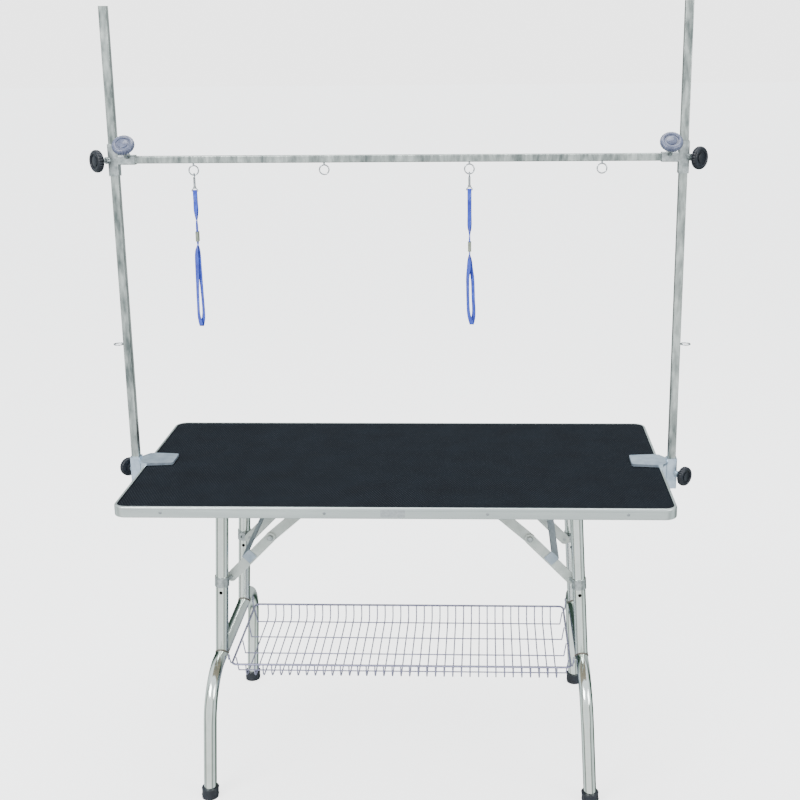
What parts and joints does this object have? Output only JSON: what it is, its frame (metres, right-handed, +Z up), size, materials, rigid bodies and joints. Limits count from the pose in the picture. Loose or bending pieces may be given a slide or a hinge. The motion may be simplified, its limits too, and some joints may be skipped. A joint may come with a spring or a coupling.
{
  "type": "grooming table",
  "caption": "Folding pet grooming table with a rubber top, braced tube legs, a wire basket, and a clamp-on overhead bar with webbing nooses.",
  "frame": {"origin": "on the floor, under the middle of the table top", "axes": "+Z up, +X along the table to the viewer's right, +Y to the rear, so the front long edge faces -Y"},
  "size_m": [1.358, 0.6024, 1.745],
  "materials": {
    "board": "bare board",
    "mat": "ribbed blue-black rubber",
    "trim": "satin",
    "rivet": "satin",
    "galvanised": "mottled zinc",
    "leg_chrome": "polished",
    "rubber": "matt black",
    "brace_paint": "matt grey-green",
    "link_paint": "matt blue-grey",
    "basket_wire": "satin grey",
    "knob": "black moulded",
    "hook_chrome": "plated",
    "webbing": "blue woven nylon",
    "slider": "grey-olive"
  },
  "bodies": {
    "table": {"table_board": "board", "rubber_mat": "mat", "edge_trim": "trim", "trim_rivets": "rivet", "blank_plate": "trim", "leg_brackets": "galvanised", "leg_hinge_pins": "galvanised", "brace_brackets": "galvanised", "left_clamp": "galvanised", "right_clamp": "galvanised"},
    "basket": {"basket_rim": "basket_wire", "basket_floor_wires": "basket_wire", "basket_side_wires": "basket_wire", "basket_long_wires": "basket_wire", "basket_hooks": "basket_wire"},
    "bar_carriage": {"overhead_bar": "galvanised", "bar_rings": "hook_chrome", "left_cross_fitting": "galvanised", "right_cross_fitting": "galvanised"},
    "left_leg": {"left_uprights": "leg_chrome", "left_foot_frame": "leg_chrome", "left_feet": "rubber", "left_arm_lugs": "galvanised"},
    "left_lower_brace": {"left_lower_arms": "brace_paint", "left_link_bar": "link_paint", "left_elbow_rivets": "galvanised"},
    "left_upper_brace": {"left_upper_arms": "brace_paint"},
    "left_post": {"left_post": "galvanised", "left_post_ring": "hook_chrome"},
    "left_pad": {"left_clamp_pad": "rubber"},
    "left_screw": {"left_clamp_screw": "galvanised"},
    "left_socket_knob": {"left_socket_knob": "knob"},
    "left_height_knob": {"left_height_knob": "knob"},
    "left_bar_knob": {"left_bar_knob": "knob"},
    "right_leg": {"right_uprights": "leg_chrome", "right_foot_frame": "leg_chrome", "right_feet": "rubber", "right_arm_lugs": "galvanised"},
    "right_lower_brace": {"right_lower_arms": "brace_paint", "right_link_bar": "link_paint", "right_elbow_rivets": "galvanised"},
    "right_upper_brace": {"right_upper_arms": "brace_paint"},
    "right_post": {"right_post": "galvanised", "right_post_ring": "hook_chrome"},
    "right_pad": {"right_clamp_pad": "rubber"},
    "right_screw": {"right_clamp_screw": "galvanised"},
    "right_socket_knob": {"right_socket_knob": "knob"},
    "right_height_knob": {"right_height_knob": "knob"},
    "right_bar_knob": {"right_bar_knob": "knob"},
    "left_noose": {"left_snap_hook": "hook_chrome"},
    "left_bolt": {"left_snap_bolt": "hook_chrome"},
    "left_webbing": {"left_snap_eye": "hook_chrome", "left_web": "webbing"},
    "left_slide_buckle": {"left_slider": "slider"},
    "right_noose": {"right_snap_hook": "hook_chrome"},
    "right_bolt": {"right_snap_bolt": "hook_chrome"},
    "right_webbing": {"right_snap_eye": "hook_chrome", "right_web": "webbing"},
    "right_slide_buckle": {"right_slider": "slider"}
  },
  "joints": [
    {"name": "left_leg_fold", "type": "hinge", "parent": "table", "child": "left_leg", "pos_m": [-0.3974, 0, 0.668], "axis": [0, -1, 0], "range_deg": [0, 90], "deforming": ["basket_hooks"]},
    {"name": "left_lower_brace_turn", "type": "hinge", "parent": "left_leg", "child": "left_lower_brace", "pos_m": [-0.39, 0, 0.473], "axis": [0, -1, 0], "range_deg": [0, 44.29]},
    {"name": "left_upper_brace_turn", "type": "hinge", "parent": "table", "child": "left_upper_brace", "pos_m": [-0.173, 0, 0.676], "axis": [0, 1, 0], "range_deg": [0, 40.95]},
    {"name": "left_clamp_slide", "type": "slide", "parent": "table", "child": "left_pad", "axis": [0, 0, 1], "range_m": [-0.012, 0]},
    {"name": "left_clamp_turn", "type": "hinge", "parent": "left_pad", "child": "left_screw", "pos_m": [-0.572, 0, 0.66], "axis": [0, 0, 1], "range_deg": [-1445, 0]},
    {"name": "left_post_slide", "type": "slide", "parent": "table", "child": "left_post", "axis": [0, 0, 1], "range_m": [0, 0.05]},
    {"name": "left_socket_knob_turn", "type": "hinge", "parent": "table", "child": "left_socket_knob", "pos_m": [-0.626, 0, 0.69], "axis": [-0.7071, 0.7071, 0], "range_deg": [-270, 0]},
    {"name": "left_height_knob_turn", "type": "hinge", "parent": "bar_carriage", "child": "left_height_knob", "pos_m": [-0.626, 0, 1.417], "axis": [-0.7071, -0.7071, 0], "range_deg": [-270, 0]},
    {"name": "left_bar_knob_turn", "type": "hinge", "parent": "bar_carriage", "child": "left_bar_knob", "pos_m": [-0.594, 0, 1.417], "axis": [0, -0.7071, 0.7071], "range_deg": [-270, 0]},
    {"name": "right_leg_fold", "type": "hinge", "parent": "table", "child": "right_leg", "pos_m": [0.3974, 0, 0.668], "axis": [0, 1, 0], "range_deg": [0, 85], "deforming": ["basket_hooks"]},
    {"name": "right_lower_brace_turn", "type": "hinge", "parent": "right_leg", "child": "right_lower_brace", "pos_m": [0.39, 0, 0.473], "axis": [0, 1, 0], "range_deg": [0, 45.48]},
    {"name": "right_upper_brace_turn", "type": "hinge", "parent": "table", "child": "right_upper_brace", "pos_m": [0.173, 0, 0.676], "axis": [0, -1, 0], "range_deg": [0, 38.1]},
    {"name": "right_clamp_slide", "type": "slide", "parent": "table", "child": "right_pad", "axis": [0, 0, 1], "range_m": [-0.012, 0]},
    {"name": "right_clamp_turn", "type": "hinge", "parent": "right_pad", "child": "right_screw", "pos_m": [0.572, 0, 0.66], "axis": [0, 0, 1], "range_deg": [-1445, 0]},
    {"name": "right_post_slide", "type": "slide", "parent": "table", "child": "right_post", "axis": [0, 0, 1], "range_m": [0, 0.05]},
    {"name": "right_socket_knob_turn", "type": "hinge", "parent": "table", "child": "right_socket_knob", "pos_m": [0.626, 0, 0.69], "axis": [0.7071, -0.7071, 0], "range_deg": [-270, 0]},
    {"name": "right_height_knob_turn", "type": "hinge", "parent": "bar_carriage", "child": "right_height_knob", "pos_m": [0.626, 0, 1.417], "axis": [0.7071, -0.7071, 0], "range_deg": [-270, 0]},
    {"name": "right_bar_knob_turn", "type": "hinge", "parent": "bar_carriage", "child": "right_bar_knob", "pos_m": [0.594, 0, 1.417], "axis": [0, -0.7071, 0.7071], "range_deg": [-270, 0]},
    {"name": "basket_lift", "type": "slide", "parent": "table", "child": "basket", "axis": [0, 0, 1], "range_m": [0, 0.1]},
    {"name": "bar_height", "type": "slide", "parent": "table", "child": "bar_carriage", "axis": [0, 0, 1], "range_m": [-0.25, 0.25]},
    {"name": "left_noose_swing", "type": "hinge", "parent": "bar_carriage", "child": "left_noose", "pos_m": [-0.45, 0, 1.3825], "axis": [1, 0, 0], "range_deg": [-60, 60]},
    {"name": "left_bolt_slide", "type": "slide", "parent": "left_noose", "child": "left_bolt", "axis": [0, 0, 1], "range_m": [-0.005, 0], "stiffness_N_per_m": 80, "springref_m": 0.001},
    {"name": "left_eye_swivel", "type": "hinge", "parent": "left_noose", "child": "left_webbing", "pos_m": [-0.45, 0, 1.35], "axis": [0, 0, 1], "continuous": true},
    {"name": "left_buckle_slide", "type": "slide", "parent": "left_webbing", "child": "left_slide_buckle", "axis": [0, 0, 1], "range_m": [0, 0.01]},
    {"name": "right_noose_swing", "type": "hinge", "parent": "bar_carriage", "child": "right_noose", "pos_m": [0.16, 0, 1.3825], "axis": [1, 0, 0], "range_deg": [-60, 60]},
    {"name": "right_bolt_slide", "type": "slide", "parent": "right_noose", "child": "right_bolt", "axis": [0, 0, 1], "range_m": [-0.005, 0], "stiffness_N_per_m": 80, "springref_m": 0.001},
    {"name": "right_eye_swivel", "type": "hinge", "parent": "right_noose", "child": "right_webbing", "pos_m": [0.16, 0, 1.35], "axis": [0, 0, 1], "continuous": true},
    {"name": "right_buckle_slide", "type": "slide", "parent": "right_webbing", "child": "right_slide_buckle", "axis": [0, 0, 1], "range_m": [0, 0.01]}
  ],
  "couplings": [
    {"joint": "left_lower_brace_turn", "follows": "left_leg_fold", "ratio": 0.491},
    {"joint": "left_upper_brace_turn", "follows": "left_leg_fold", "ratio": 0.4539},
    {"joint": "right_lower_brace_turn", "follows": "right_leg_fold", "ratio": 0.5339},
    {"joint": "right_upper_brace_turn", "follows": "right_leg_fold", "ratio": 0.4471},
    {"joint": "left_clamp_turn", "follows": "left_clamp_slide", "rad_per_m": 2094.4},
    {"joint": "right_clamp_turn", "follows": "right_clamp_slide", "rad_per_m": 2094.4}
  ]
}
